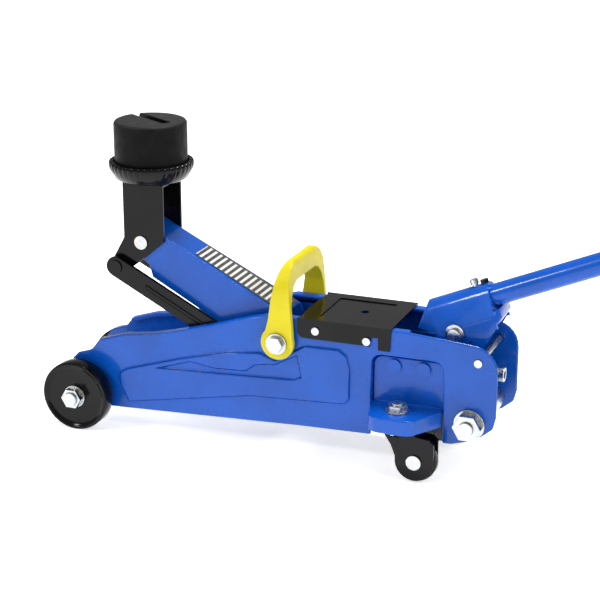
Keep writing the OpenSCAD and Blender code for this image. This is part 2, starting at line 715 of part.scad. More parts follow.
module lift_arm() color("royalblue") jack() arm_frame() difference() {
    union() {
        pair() cheek_wall();
        translate([0, 0, arm_top - arm_t]) linear_extrude(arm_t) polygon([
            [-arm_len, -arm_front_hw + 1], [-arm_len + arm_straight, -arm_front_hw + 1],
            [-arm_len + web_end, -arm_rear_hw + 1], [-arm_len + web_end, arm_rear_hw - 1],
            [-arm_len + arm_straight, arm_front_hw - 1], [-arm_len, arm_front_hw - 1]
        ]);
        bar_y([0, 0], shaft_r + 4, -pivot_plate_y + 0.5, pivot_plate_y - 0.5);
    }
    bar_y([0, 0], shaft_r + run_fit, -inner_w, inner_w);
    bar_y([-arm_len, 0], pin_r + run_fit, -30, 30);
    rotate([0, -arm_rise, 0]) {
        for (z = [0, slot_len]) bar_y([0, -crank_h - z], cross_pin_r + slot_play, -30, 30);
        translate([-cross_pin_r - slot_play, -30, -crank_h - slot_len])
            cube([2 * (cross_pin_r + slot_play), 60, slot_len]);
    }
}

// Plain scale plate on the arm's top
module arm_label() color("darkgray") jack() arm_frame()
    translate([0, 0, arm_top + 0.02]) linear_extrude(0.6) polygon([
        [-arm_len + 46, -arm_front_hw + 3.5], [-arm_len + web_end - 2, -arm_rear_hw + 4.5],
        [-arm_len + web_end - 2, arm_rear_hw - 2.5], [-arm_len + 46, arm_front_hw - 1.5]
    ]);

// ---- saddle bracket and links ----

module arm_front_pin() color("gainsboro") jack() {
    y1 = bracket_hw + sheet_gap;
    bar_y([pin_x, pin_z], pin_r, -y1, y1);
    pair() bar_y([pin_x, pin_z], pin_r + 0.6, -y1 - 1.1, -y1 + eps);
}

bracket_x0 = pin_x - 16.5;
bracket_x1 = pin_x + 21.5;
bracket_z1 = pin_z + bracket_rise;

function bracket_side() = concat(
    [[bracket_x0, bracket_z1], [bracket_x0, pin_z + 3], [pin_x - 26.5, pin_z - 15]],
    arc(link_front, link_r - 0.5, 150, 300, 8),
    [[pin_x + 3.8, pin_z - 13.2], [bracket_x1, pin_z + 2], [bracket_x1, bracket_z1]]
);

module saddle_bracket() color("black") jack() difference() {
    union() {
        pair() slab(-bracket_hw, -bracket_hw + bracket_t) polygon(bracket_side());
        translate([bracket_x0, -bracket_hw, bracket_z1 - bracket_t])
            cube([bracket_x1 - bracket_x0, 2 * bracket_hw, bracket_t]);
        translate([bracket_x0, -bracket_hw, pin_z + 21])
            cube([bracket_t, 2 * bracket_hw, bracket_rise - 21]);
    }
    bar_y([pin_x, pin_z], pin_r + run_fit, -bracket_hw - 1, bracket_hw + 1);
    bar_y(link_front, link_pin_r + run_fit, -bracket_hw - 1, bracket_hw + 1);
    translate([pin_x + 2.5, 0, bracket_z1 - bracket_t - 1]) cylinder(r = 8 + run_fit, h = bracket_t + 2);
}

// Pin through the bracket's foot that carries both links, with a head at each end
module link_front_pin() color("dimgray") jack() {
    y1 = link_y + link_t + sheet_gap;
    bar_y(link_front, link_pin_r, -y1, y1);
    pair() bar_y(link_front, link_pin_r + 1.5, -link_y + 0.1, -bracket_hw - eps);
    pair() bar_y(link_front, link_pin_r + 1, -y1 - 1, -y1 + eps);
}

// Flat link with a pressed rib, drawn with its front eye at the origin
module radius_link() {
    drop = atan2(link_front[1] - link_rear[1], link_rear[0] - link_front[0]);
    translate([link_front[0], 0, link_front[1]]) rotate([0, drop, 0]) difference() {
        union() {
            slab(-link_y - link_t, -link_y) polygon(concat(
                arc([0, 0], link_r, 90, 270, 12), arc([link_len, 0], link_r, 270, 450, 12)));
            slab(-link_y - link_t - 0.5, -link_y - link_t + eps) polygon([
                [32, -1.6], [link_len - 24, -1.6], [link_len - 24, 1.6], [32, 1.6]]);
        }
        bar_y([0, 0], link_pin_r + run_fit, -link_y - link_t - 1, -link_y + 1);
        bar_y([link_len, 0], link_pin_r + run_fit, -link_y - link_t - 1, -link_y + 1);
    }
}

module radius_link_left() color("black") jack() radius_link();
module radius_link_right() color("black") jack() mirror([0, 1, 0]) radius_link();

// ---- saddle ----

saddle_x = pin_x + 2.5;
cup_z = bracket_z1 + 0.3;
pad_slot_turn = -31;
pad_slot_off = 4;
pad_slot_end = 20;
cup_base_t = 4;

module saddle_cup() color("black") jack() translate([saddle_x, 0, cup_z]) rotate_extrude($fn = 72)
    polygon([
        [0, -6.5], [8, -6.5], [8, 0], [pad_r - 6, 0], [pad_r - 1, 1.5], [pad_r + 2, 4.5],
        [cup_r - 1, cup_h - 7], [cup_r, cup_h - 5], [cup_r, cup_h - 1], [cup_r - 1, cup_h], [pad_r + 0.3, cup_h],
        [pad_r + 0.3, cup_base_t], [0, cup_base_t]
    ]);

module rubber_pad() color("dimgray") jack() translate([saddle_x, 0, cup_z + cup_base_t]) difference() {
    cylinder(r = pad_r, h = pad_h, $fn = 72);
    rotate(pad_slot_turn) translate([-pad_r - 1, pad_slot_off - pad_slot_w / 2, pad_h - pad_slot_d])
        cube([pad_r + 1 + pad_slot_end, pad_slot_w, pad_slot_d + 1]);
}

// Ring on the saddle's stem under the bracket's top
module saddle_nut() color("silver") jack() translate([saddle_x, 0, cup_z - 6.5]) difference() {
    cylinder(r = 11, h = 2.9);
    translate([0, 0, -1]) cylinder(r = 8 + run_fit, h = 5);
}

// ---- hydraulic unit ----

module ram_rod() color("silver") jack() difference() {
    union() {
        bar_x(shaft_x + 4, block_x0 - 14.5, 0, ram_z, ram_r);
        bar_y([shaft_x, ram_z], 11, -14, 14);
    }
    bar_y([shaft_x, ram_z], cross_pin_r + run_fit, -30, 30);
}

module crosshead_pin() color("silver") jack() bar_y([shaft_x, ram_z], cross_pin_r, -arm_rear_hw - 0.4, arm_rear_hw + 0.4);

// Tube with a blind bore for the ram
module cylinder_tube() difference() {
    bar_x(cyl_x0 + gland_l, block_x0, 0, ram_z, cyl_r);
    bar_x(cyl_x0, block_x0 + 1, 0, ram_z, ram_r + 2);
}

module cylinder_node() color("dimgray") jack() cylinder_tube();

// Ring nut that closes the cylinder and guides the ram
module gland_nut() color("goldenrod") jack() difference() {
    translate([cyl_x0, 0, ram_z]) rotate([0, 90, 0]) cylinder(r = cyl_r - 0.3, h = gland_l, $fn = 12);
    bar_x(cyl_x0 - 1, cyl_x0 + gland_l + 1, 0, ram_z, ram_r + run_fit);
}

module pump_block() color("gray") jack() difference() {
    union() {
        translate([block_x0, -block_hw, block_z0]) cube([block_x1 - block_x0, 2 * block_hw, block_top_z - block_z0]);
        slab(-lug_hw, lug_hw) polygon(concat(
            [[pivot_x - 14, block_top_z - 1], [pivot_x - 4, pivot_z - 12]],
            arc([pivot_x, pivot_z], lug_r, 205, -60, 12),
            [[block_x1, block_top_z - 1]]
        ));
        translate([plunger_x, plunger_y, barrel_z0]) cylinder(r = barrel_r, h = barrel_top_z - barrel_z0);
        translate([block_x1 - 1, plunger_y - barrel_r, barrel_z0])
            cube([plunger_x - block_x1 + 1, 2 * barrel_r, barrel_top_z - barrel_z0 - 4]);
    }
    bar_y([pivot_x, pivot_z], pivot_r + run_fit, -lug_hw - 1, lug_hw + 1);
    translate([plunger_x, plunger_y, barrel_z0 + 3]) cylinder(r = plunger_r + run_fit, h = barrel_top_z);
    bar_x(block_x1 - 12, block_x1 + 1, valve_y, valve_z, valve_r + run_fit);
}

module reservoir_tank() color("gray") jack() translate([0, 0, tank_z0]) linear_extrude(tank_z1 - tank_z0)
    polygon(concat(
        arc([tank_x0 + 8, -tank_hw + 8], 8, 180, 270, 5), [[block_x0, -tank_hw], [block_x0, tank_hw]],
        arc([tank_x0 + 8, tank_hw - 8], 8, 90, 180, 5)
    ));

module filler_plug() color("black") jack() translate([tank_x0 + 14, 0, tank_z1]) cylinder(r = 5, h = 4);

module pump_plunger() color("silver") jack() translate([plunger_x, plunger_y, 0]) {
    translate([0, 0, barrel_z0 + 4]) cylinder(r = plunger_r, h = plunger_top_z - barrel_z0 - 4);
    translate([0, 0, plunger_top_z - 4]) cylinder(r = plunger_r + 1.7, h = 4);
}

module pump_spring() color("silver") jack() translate([plunger_x, plunger_y, barrel_top_z + 0.2])
    coil(plunger_r + 1.2, 0.7, plunger_top_z - 4 - barrel_top_z - 0.4, 4);

// Spindle of the release valve, turned by the notched end of the handle
module release_valve() color("lightgray") jack() {
    bar_x(block_x1 - 10, valve_x1 - 8, valve_y, valve_z, valve_r);
    difference() {
        bar_x(valve_x1 - 8 - eps, valve_x1, valve_y, valve_z, valve_head_r);
        bar_x(valve_x1 - 4, valve_x1 + 1, valve_y, valve_z, valve_head_r - 2.5);
    }
    translate([valve_x1 - 14, valve_y, valve_z - 9]) cylinder(r = 1.8, h = 18);
}

// ---- handle ----

// The handle's own frame: the pivot at the origin, the handle along X
module handle_frame() translate([pivot_x, 0, pivot_z]) rotate([0, -handle_rise, 0]) children();

// Folded sheet socket: round over the tube, flaring to a wide open skirt
module socket_body(inset) {
    r = sleeve_r - inset;
    w = socket_hw - inset;
    hull() {
        bar_x(socket_u0 + 16, socket_u1, 0, axis_v, r, $fn = hull_fn);
        translate([socket_u0 + 22, -w, -6]) cube([socket_u1 - socket_u0 - 22, 2 * w, 8]);
        translate([socket_u0, -r * 0.8, 6]) cube([3, 1.6 * r, 4]);
    }
    hull() {
        translate([0, -w, -9]) cube([30, 2 * w, 6]);
        translate([12, -w * 0.7, 1]) cube([skirt_u1 - 12 - inset, w * 1.4, 7]);
        translate([8, -w, -2]) cube([26, 2 * w, 6]);
        translate([4, -w, -18]) cube([14, 2 * w, 6]);
    }
}

module handle_socket() color("royalblue") jack() handle_frame() difference() {
    union() {
        difference() {
            socket_body(0);
            difference() {
                socket_body(socket_t);
                bar_x(socket_u0 + 14, socket_u1 + 1, 0, axis_v, sleeve_r, $fn = hull_fn);
            }
            slab(-socket_hw + socket_t, socket_hw - socket_t) polygon([
                [socket_u0 - 6, -30], [60, -30], [60, -3], [0, -3], [-12, 2], [socket_u0 + 2, 11], [socket_u0 - 6, 12]]);
        }
    }
    bar_x(tube_u0, skirt_u1 + 20, 0, axis_v, tube_r + run_fit);
    bar_y([0, 0], pivot_r + run_fit, -30, 30);
    bar_y([0, 0], lug_r + 0.4, -lug_hw - 1, lug_hw + 1);
    rotate([0, handle_rise, 0]) bar_y([roller_dx, roller_dz], roller_pin_r + run_fit, -30, 30);
    translate([24, 0, axis_v]) cylinder(r = 2.5 + run_fit, h = 40);
}

module socket_pivot_pin() color("silver") jack()
    bar_y([pivot_x, pivot_z], pivot_r, -socket_hw - 5, socket_hw + 5);

// Split pin and washer at each end of the pivot pin
module socket_cotter_pins() color("gainsboro") jack() pair() {
    y0 = socket_hw + sheet_gap;
    difference() {
        bar_y([pivot_x, pivot_z], pivot_r + 3, -y0 - 1.4, -y0);
        bar_y([pivot_x, pivot_z], pivot_r + run_fit, -y0 - 3, -y0 + 1);
    }
}

module pump_roller() color("silver") jack() {
    p = [pivot_x + roller_dx, pivot_z + roller_dz];
    difference() {
        bar_y(p, roller_r, -16, 16);
        bar_y(p, roller_pin_r + run_fit, -17, 17);
    }
    bar_y(p, roller_pin_r, -socket_hw, socket_hw);
}

module handle_lock_screw() color("silver") jack() handle_frame() translate([24, 0, axis_v]) {
    translate([0, 0, tube_r + 0.2]) cylinder(r = 2.5, h = socket_t + 4);
    translate([0, 0, sleeve_r + 1.5]) cylinder(r = 3.6, h = 4);
}

module tube_clip() color("black") jack() handle_frame() translate([socket_u1 - 3.5, 0, axis_v])
    translate([0, 0, sleeve_r + 0.05]) cylinder(r = 3.4, h = 3);

module handle_tube() color("royalblue") jack() handle_frame() difference() {
    bar_x(tube_u0, handle_u1 - 4, 0, axis_v, tube_r);
    bar_x(tube_u0 - 1, handle_u1 + 1, 0, axis_v, tube_r - tube_t);
}

module handle_grip() color("black") jack() handle_frame() difference() {
    bar_x(handle_u1 - grip_len, handle_u1, 0, axis_v, tube_r + grip_t);
    bar_x(handle_u1 - grip_len - 1, handle_u1 - 4, 0, axis_v, tube_r);
}

side_plate_left();
side_plate_right();
pivot_plates();
front_axle();
front_axle_spacer();
axle_washers();
axle_nuts();
rear_tie_rod();
rear_tie_spacer();
rear_cross_pin();
main_shaft();
link_rear_pins();
cover_plate();
cover_screws();
carry_handle_bolts();
caster_bracket_left();
caster_bracket_right();
caster_bracket_rivets();
king_bolts();
king_bearings();
pump_block();
reservoir_tank();
filler_plug();
cylinder_node();  // cylinder
gland_nut();
pump_spring();
socket_pivot_pin();
socket_cotter_pins();
lift_arm();
arm_label();
arm_front_pin();
saddle_bracket();
link_front_pin();
saddle_cup();
rubber_pad();
saddle_nut();
radius_link_left();
radius_link_right();
ram_rod();
crosshead_pin();
pump_plunger();
handle_socket();
pump_roller();
handle_lock_screw();
tube_clip();
handle_tube();
handle_grip();
release_valve();
caster_yoke_left();
caster_yoke_right();
caster_axle_left();
caster_axle_right();
caster_wheel_left();
caster_wheel_right();
front_wheel_left();
front_wheel_right();
carry_handle();
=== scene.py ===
"""Looks of a compact hydraulic trolley jack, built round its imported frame."""

import json
import math

import bmesh
import bpy
from bpy.props import FloatProperty, FloatVectorProperty, IntProperty, PointerProperty
from bpy.types import Operator, Panel, PropertyGroup
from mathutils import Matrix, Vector
from mathutils.bvhtree import BVHTree


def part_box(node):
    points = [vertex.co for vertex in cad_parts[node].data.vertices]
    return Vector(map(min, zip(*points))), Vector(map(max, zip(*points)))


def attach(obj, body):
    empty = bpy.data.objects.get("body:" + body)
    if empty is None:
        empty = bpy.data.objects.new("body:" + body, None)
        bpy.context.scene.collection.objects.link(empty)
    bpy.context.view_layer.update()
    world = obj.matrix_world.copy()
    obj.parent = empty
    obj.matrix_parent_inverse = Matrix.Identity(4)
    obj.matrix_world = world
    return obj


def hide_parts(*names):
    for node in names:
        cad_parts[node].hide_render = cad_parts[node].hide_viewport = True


bl_info = {
    "name": "Trolley jack",
    "version": (1, 0, 0),
    "blender": (4, 5, 0),
    "location": "View3D > Sidebar > Jack",
    "description": "Builds the visible pieces and finishes of a trolley jack",
    "category": "Object",
}

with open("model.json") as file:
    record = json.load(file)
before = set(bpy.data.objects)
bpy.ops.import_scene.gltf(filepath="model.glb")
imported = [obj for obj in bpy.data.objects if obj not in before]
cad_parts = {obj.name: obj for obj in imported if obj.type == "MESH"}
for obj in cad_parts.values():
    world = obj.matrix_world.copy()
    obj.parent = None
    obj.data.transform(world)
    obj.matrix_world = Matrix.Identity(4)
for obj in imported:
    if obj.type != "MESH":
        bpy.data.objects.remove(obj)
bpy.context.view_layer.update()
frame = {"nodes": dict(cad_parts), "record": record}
MM = 0.001


def middle_of(node):
    """Middle of a CAD node's box."""
    low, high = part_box(node)
    return (low + high) / 2


def linear(code):
    """Linear colour of an sRGB hex value."""
    parts = [int(code[i:i + 2], 16) / 255 for i in (1, 3, 5)]
    return [c / 12.92 if c <= 0.04045 else ((c + 0.055) / 1.055) ** 2.4 for c in parts]


# ---- what a user would change ----

class JackFinish(PropertyGroup):
    """Colours of the coats and mouldings"""
    coat: FloatVectorProperty(
        name="Powder coat", description="Colour of the frame's powder coat",
        subtype="COLOR", min=0, max=1, default=linear("#064DAD"))
    enamel: FloatVectorProperty(
        name="Black enamel", description="Colour of the cover, links and wheels",
        subtype="COLOR", min=0, max=1, default=linear("#070709"))
    yellow: FloatVectorProperty(
        name="Carry handle", description="Colour of the moulded carry handle",
        subtype="COLOR", min=0, max=1, default=linear("#D2C404"))
    rubber: FloatVectorProperty(
        name="Rubber", description="Colour of the saddle pad and the grip",
        subtype="COLOR", min=0, max=1, default=linear("#08080A"))
    zinc: FloatVectorProperty(
        name="Zinc plate", description="Colour of the plated nuts and pins",
        subtype="COLOR", min=0, max=1, default=linear("#BCBEC0"))


class JackSizes(PropertyGroup):
    """Edge radii and counts of the details that the frame leaves plain"""
    press_radius: FloatProperty(
        name="Pressed edge", description="Radius of the pressed plates' edges",
        subtype="DISTANCE", unit="LENGTH", default=1.4 * MM, min=0.1 * MM, max=2 * MM)
    mould_radius: FloatProperty(
        name="Moulded edge", description="Radius of the carry handle's edges",
        subtype="DISTANCE", unit="LENGTH", default=0.9 * MM, min=0.3 * MM, max=1.4 * MM)
    rim_notches: IntProperty(
        name="Rim notches", description="Number of notches round the saddle cup's rim",
        default=40, min=12, max=80)
    grip_ridges: IntProperty(
        name="Grip ridges", description="Number of ridges round the handle's grip",
        default=18, min=6, max=30)


def finish():
    """The colours that are set in this scene."""
    return bpy.context.scene.jack_finish


def sizes():
    """The sizes that are set in this scene."""
    return bpy.context.scene.jack_sizes


# ---- materials ----

MIX_COLOURS = {"data_type": "RGBA"}


def add(tree, kind, settings=None, **inputs):
    """Adds one shader node; each input is a value or a link, by its socket's name or number (i0, i1)."""
    made = tree.nodes.new(kind)
    for key, value in (settings or {}).items():
        setattr(made, key, value)
    for key, value in inputs.items():
        numbered = key[0] == "i" and key[1:].isdigit()
        socket = made.inputs[int(key[1:]) if numbered else key.replace("_", " ")]
        if isinstance(value, bpy.types.NodeSocket):
            tree.links.new(value, socket)
        else:
            socket.default_value = value
    return made


def new_material(name):
    """An empty material and its node tree."""
    material = bpy.data.materials.new(name)
    material.use_nodes = True
    tree = material.node_tree
    tree.nodes.clear()
    return material, tree


def rgba(colour, gain=1.0):
    """A linear colour, made lighter or darker, with full alpha."""
    return [min(1, c * gain) for c in colour[:3]] + [1]


def spread(tree, where, size_mm, low, high, detail=3):
    """Noise with blobs of a real size in millimetres, mapped between two values."""
    # Nearly all of the noise lies from 0.35 to 0.65, so that stretch is drawn out to the full range
    noise = add(tree, "ShaderNodeTexNoise", Vector=where, Scale=1000 / size_mm, Detail=detail)
    mapped = add(tree, "ShaderNodeMapRange", Value=noise.outputs["Fac"], From_Min=0.35, From_Max=0.65,
                 To_Min=low, To_Max=high)
    return mapped.outputs["Result"]


def mottled(tree, where, size_mm, first, second, share=1):
    """A colour that drifts from a first towards a second in blobs of a real size, by at most a share."""
    drift = spread(tree, where, size_mm, 0, share)
    return add(tree, "ShaderNodeMix", MIX_COLOURS, i0=drift, i6=first, i7=second).outputs[2]


def surface(tree, depth_mm, height, strength, **inputs):
    """Principled shader with a bump of a real depth, joined to the output."""
    bump = add(tree, "ShaderNodeBump", Height=height, Distance=depth_mm * MM, Strength=strength)
    shader = add(tree, "ShaderNodeBsdfPrincipled", Normal=bump.outputs["Normal"], **inputs)
    add(tree, "ShaderNodeOutputMaterial", Surface=shader.outputs[0])


def powder_coat(name, colour, rough=0.24, peel_mm=2.2):
    """Epoxy powder coat on pressed steel: deep, glossy, with a fine orange peel."""
    material, tree = new_material(name)
    where = add(tree, "ShaderNodeTexCoord").outputs["Object"]
    base = mottled(tree, where, 45, rgba(colour, 0.9), rgba(colour, 1.12))
    peel = spread(tree, where, peel_mm, 0, 1, 1)
    surface(tree, 0.05, peel, 0.35, Base_Color=base,
            Roughness=spread(tree, where, 14, rough - 0.05, rough + 0.06), IOR=1.5,
            Specular_IOR_Level=0.2, Coat_Weight=0.3, Coat_Roughness=0.05)
    return material


def stove_enamel(name, colour, rough=0.16):
    """Black stoving enamel: near black, hard gloss, with dust specks drawn coarse enough to show."""
    material, tree = new_material(name)
    where = add(tree, "ShaderNodeTexCoord").outputs["Object"]
    base = mottled(tree, where, 30, rgba(colour, 0.8), rgba(colour, 1.7))
    specks = spread(tree, where, 1.6, 0, 1, 2)
    surface(tree, 0.04, specks, 0.3, Base_Color=base,
            Roughness=spread(tree, where, 9, rough - 0.04, rough + 0.09), IOR=1.5,
            Specular_IOR_Level=0.1, Coat_Weight=0.2, Coat_Roughness=0.03)
    return material


def zinc_plate(name, colour, rough=0.26):
    """Bright zinc plate: metal with cloudy blue and straw patches from its passivation."""
    material, tree = new_material(name)
    where = add(tree, "ShaderNodeTexCoord").outputs["Object"]
    blue_haze, straw = rgba(linear("#B9C2CC")), rgba(linear("#CFC6AC"))
    cloud = mottled(tree, where, 8, blue_haze, rgba(colour))
    base = mottled(tree, where, 5, cloud, straw, 0.35)
    # Real grit is finer; this size still shows
    grit = spread(tree, where, 0.7, 0, 1, 4)
    surface(tree, 0.02, grit, 0.35, Base_Color=base, Metallic=1.0,
            Roughness=spread(tree, where, 3, rough - 0.07, rough + 0.12))
    return material


def ground_steel(name, colour, rough=0.2):
    """Ground steel pin or ram: fine turning lines across the metal."""
    material, tree = new_material(name)
    where = add(tree, "ShaderNodeTexCoord").outputs["Object"]
    base = mottled(tree, where, 6, rgba(colour, 0.85), rgba(colour))
    lines = add(tree, "ShaderNodeTexWave", {"bands_direction": "Y"}, Vector=where, Scale=600.0, Distortion=1.5)
    surface(tree, 0.01, lines.outputs["Fac"], 0.25, Base_Color=base, Metallic=1.0,
            Roughness=spread(tree, where, 4, rough - 0.05, rough + 0.1))
    return material


def sand_casting(name, colour):
    """Cast iron under thin grey paint: a sandy skin with darker hollows."""
    material, tree = new_material(name)
    where = add(tree, "ShaderNodeTexCoord").outputs["Object"]
    grain = spread(tree, where, 1.5, 0, 1, 6)
    base = add(tree, "ShaderNodeMix", MIX_COLOURS, i0=grain, i6=rgba(colour, 0.6), i7=rgba(colour, 1.2))
    surface(tree, 0.25, grain, 0.6, Base_Color=base.outputs[2], Metallic=0.35,
            Roughness=spread(tree, where, 5, 0.45, 0.65))
    return material


def moulded_plastic(name, colour):
    """Injection-moulded polypropylene: waxy, soft highlight, spark-eroded grain."""
    material, tree = new_material(name)
    where = add(tree, "ShaderNodeTexCoord").outputs["Object"]
    base = mottled(tree, where, 30, rgba(colour, 0.93), rgba(colour, 1.05))
    grain = spread(tree, where, 0.9, 0, 1, 3)
    surface(tree, 0.04, grain, 0.25, Base_Color=base, Roughness=spread(tree, where, 6, 0.34, 0.46),
            IOR=1.49, Specular_IOR_Level=0.35)
    return material


def vulcanised_rubber(name, colour, dusty=0.08):
    """Moulded black rubber: matt, with a fine pitted skin; faces turned upward are painted lighter as if lit
    from above, plus random dust patches.
    """
    material, tree = new_material(name)
    where = add(tree, "ShaderNodeTexCoord").outputs["Object"]
    normal = add(tree, "ShaderNodeNewGeometry").outputs["Normal"]
    up = add(tree, "ShaderNodeSeparateXYZ", Vector=normal).outputs["Z"]
    upward = add(tree, "ShaderNodeClamp", Value=up).outputs[0]
    patches = spread(tree, where, 9, 0, dusty, 5)
    # Painted light: faces turned upward are mixed strongly towards grey as if lit from above; the small noise
    # patches added to it stand for dust
    top_light_and_dust = add(tree, "ShaderNodeMath", {"operation": "MULTIPLY_ADD"}, i0=upward, i1=0.8, i2=patches)
    base = add(tree, "ShaderNodeMix", MIX_COLOURS, i0=top_light_and_dust.outputs[0], i6=rgba(colour, 0.8),
               i7=rgba(linear("#2C2C2D")))
    pits = spread(tree, where, 1.3, 0, 1, 4)
    surface(tree, 0.06, pits, 0.35, Base_Color=base.outputs[2],
            Roughness=spread(tree, where, 7, 0.42, 0.6), IOR=1.52, Specular_IOR_Level=0.1)
    return material


def scale_film(name, pitch_mm, half_bar_mm, tilt, start):
    """Printed film on the arm: grey ground with plain light bars across it, each under half of the pitch."""
    material, tree = new_material(name)
    where = add(tree, "ShaderNodeTexCoord").outputs["Object"]
    along_arm = add(tree, "ShaderNodeMapping", {"vector_type": "TEXTURE"}, Vector=where, Location=start,
                    Rotation=(0, tilt, 0))
    axes = add(tree, "ShaderNodeSeparateXYZ", Vector=along_arm.outputs["Vector"])
    step = add(tree, "ShaderNodeMath", {"operation": "MULTIPLY"}, i0=axes.outputs["X"], i1=1000 / pitch_mm)
    part = add(tree, "ShaderNodeMath", {"operation": "FRACT"}, i0=step.outputs[0])
    bar = add(tree, "ShaderNodeMath", {"operation": "GREATER_THAN"}, i0=part.outputs[0], i1=0.55)
    side = add(tree, "ShaderNodeMath", {"operation": "ABSOLUTE"}, i0=axes.outputs["Y"])
    inside = add(tree, "ShaderNodeMath", {"operation": "LESS_THAN"}, i0=side.outputs[0],
                 i1=half_bar_mm * MM)
    mark = add(tree, "ShaderNodeMath", {"operation": "MULTIPLY"}, i0=bar.outputs[0], i1=inside.outputs[0])
    ground = mottled(tree, where, 6, rgba(linear("#33353A")), rgba(linear("#4A4C52")))
    base = add(tree, "ShaderNodeMix", MIX_COLOURS, i0=mark.outputs[0], i6=ground, i7=rgba(linear("#D9D6CF")))
    surface(tree, 0.01, spread(tree, where, 2, 0, 1), 0.2, Base_Color=base.outputs[2],
            Roughness=0.35, IOR=1.46)
    return material


def film_on_arm():
    """The film's bars, laid along the arm's line from its front pin down to the main shaft."""
    pin, shaft = middle_of("arm_front_pin"), middle_of("main_shaft")
    tilt = math.atan2(pin.z - shaft.z, shaft.x - pin.x)
    return scale_film("printed_film", 5.2, 12.5, tilt, pin)


MATERIALS = {}

# Which finish each material slot of the frame gets
FINISH_OF_SLOT = {
    "blue_paint": "coat", "black_paint": "enamel", "zinc": "zinc", "bright_steel": "steel",
    "casting": "casting", "cylinder_paint": "satin", "brass_nut": "brass", "yellow_plastic": "yellow",
    "rubber_black": "rubber", "label_grey": "film", "caster_steel": "satin",
}


def make_materials():
    """Makes every finish once, for all operators."""
    colours = finish()
    MATERIALS.update({
        "coat": powder_coat("powder_coat", colours.coat),
        "enamel": stove_enamel("stove_enamel", colours.enamel),
        "satin": stove_enamel("satin_enamel", colours.enamel, 0.34),
        "zinc": zinc_plate("zinc_plate", colours.zinc),
        "steel": ground_steel("ground_steel", linear("#C4C6C8")),
        "casting": sand_casting("sand_casting", linear("#5A5D60")),
        "brass": ground_steel("turned_brass", linear("#C9A552")),
        "yellow": moulded_plastic("moulded_polypropylene", colours.yellow),
        "rubber": vulcanised_rubber("vulcanised_rubber", colours.rubber),
        "film": film_on_arm(),
    })


# ---- making pieces ----

def body_of(node):
    """The body that a CAD node moves with."""
    for body, members in frame["record"]["behaviour"]["bodies"].items():
        if node in members:
            return body
    raise RuntimeError("no body holds " + node)


def slot_of(node):
    """The material slot of a CAD node."""
    for row in frame["record"]["subparts"]:
        if row["node"] == node:
            return row["material_slot"]
    raise RuntimeError("no slot for " + node)


def piece(bm, name, finish_name, node, smooth=32):
    """Turns a bmesh into a piece that rides on its body and stands for a CAD node."""
    for face in bm.faces:
        face.smooth = True
    for edge in bm.edges:
        edge.smooth = not (edge.is_manifold and edge.calc_face_angle(0) > math.radians(smooth))
    mesh = bpy.data.meshes.new(name)
    bm.to_mesh(mesh)
    bm.free()
    made = bpy.data.objects.new(name, mesh)
    bpy.context.scene.collection.objects.link(made)
    mesh.materials.append(MATERIALS[finish_name])
    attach(made, body_of(node))
    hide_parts(node)
    return made


def cad_mesh(node):
    """A copy of a CAD node's mesh with its points joined and its flat faces whole."""
    bm = bmesh.new()
    bm.from_mesh(frame["nodes"][node].data)
    bmesh.ops.remove_doubles(bm, verts=bm.verts, dist=1e-6)
    bmesh.ops.dissolve_limit(bm, angle_limit=math.radians(0.6), verts=bm.verts, edges=bm.edges)
    return bm


def round_edges(bm, edges, radius, segments):
    """Rounds the given edges to a radius."""
    bmesh.ops.bevel(bm, geom=edges, offset=radius, offset_type="OFFSET", segments=segments, profile=0.5,
                    affect="EDGES", clamp_overlap=False, material=-1)


def stray(bm, shape):
    """The furthest that any point or face of a mesh lies from the shape it came from."""
    points = [v.co for v in bm.verts]
    points += [(a.vert.co + b.vert.co + c.vert.co) / 3 for a, b, c in bm.calc_loop_triangles()]
    return max(shape.find_nearest(at)[3] for at in points)


def ease_edges(bm, radius, segments, angle):
    """Eases the sharp edges by the largest share of the radius that leaves the shape as it is."""
    shape = BVHTree.FromBMesh(bm)
    for share in (1, 0.7, 0.4, 0.2):
        eased_copy = bm.copy()
        sharp = [e for e in eased_copy.edges if e.is_manifold and e.calc_face_angle(0) > math.radians(angle)]
        round_edges(eased_copy, sharp, radius * share, segments)
        # A sound round sinks by well under 0.7 of its radius; more is a torn face at a thin wall
        if stray(eased_copy, shape) < 0.7 * radius * share + 0.05 * MM:
            bm.free()
            return eased_copy
        eased_copy.free()
    return bm


def eased(node, suffix, finish_name, radius, segments=2, angle=28, smooth=32):
    """A CAD node's shape with its sharp edges eased to a real edge radius."""
    bm = cad_mesh(node)
    if radius:
        bm = ease_edges(bm, radius, segments, angle)
    bmesh.ops.recalc_face_normals(bm, faces=bm.faces)
    made = piece(bm, node + suffix, finish_name, node, smooth)
    even = made.modifiers.new("flat_faces", "WEIGHTED_NORMAL")
    even.keep_sharp = True
    even.weight = 90


def lathe(profile, axis, centre, steps):
    """A closed profile of (radius, along) in millimetres, spun about an axis through a point."""
    bm = bmesh.new()
    along = Vector(axis)
    side = along.orthogonal().normalized()
    verts = [bm.verts.new(centre + side * r * MM + along * a * MM) for r, a in profile]
    edges = [bm.edges.new((verts[i], verts[(i + 1) % len(verts)])) for i in range(len(verts))]
    bmesh.ops.spin(bm, geom=verts + edges, cent=centre, axis=axis, angle=2 * math.pi, steps=steps,
                   use_merge=True)
    bmesh.ops.remove_doubles(bm, verts=bm.verts, dist=1e-6)
    bmesh.ops.recalc_face_normals(bm, faces=bm.faces)
    return bm


# ---- shapes of the turned and moulded pieces ----

def grip_line():
    """Radius and half length of the slanting grip in millimetres, and its tilt, from its box."""
    low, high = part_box("handle_grip")
    size = (high - low) / MM
    r = size.y / 2
    tilt = math.atan2(size.z, size.x)
    # Each pass takes the width of the two end faces off the box's diagonal, with the tilt found so far
    for _ in range(20):
        tilt = math.atan2(size.z - 2 * r * math.cos(tilt), size.x - 2 * r * math.sin(tilt))
    half = (size.x - 2 * r * math.sin(tilt)) / math.cos(tilt) / 2
    return r, half, tilt


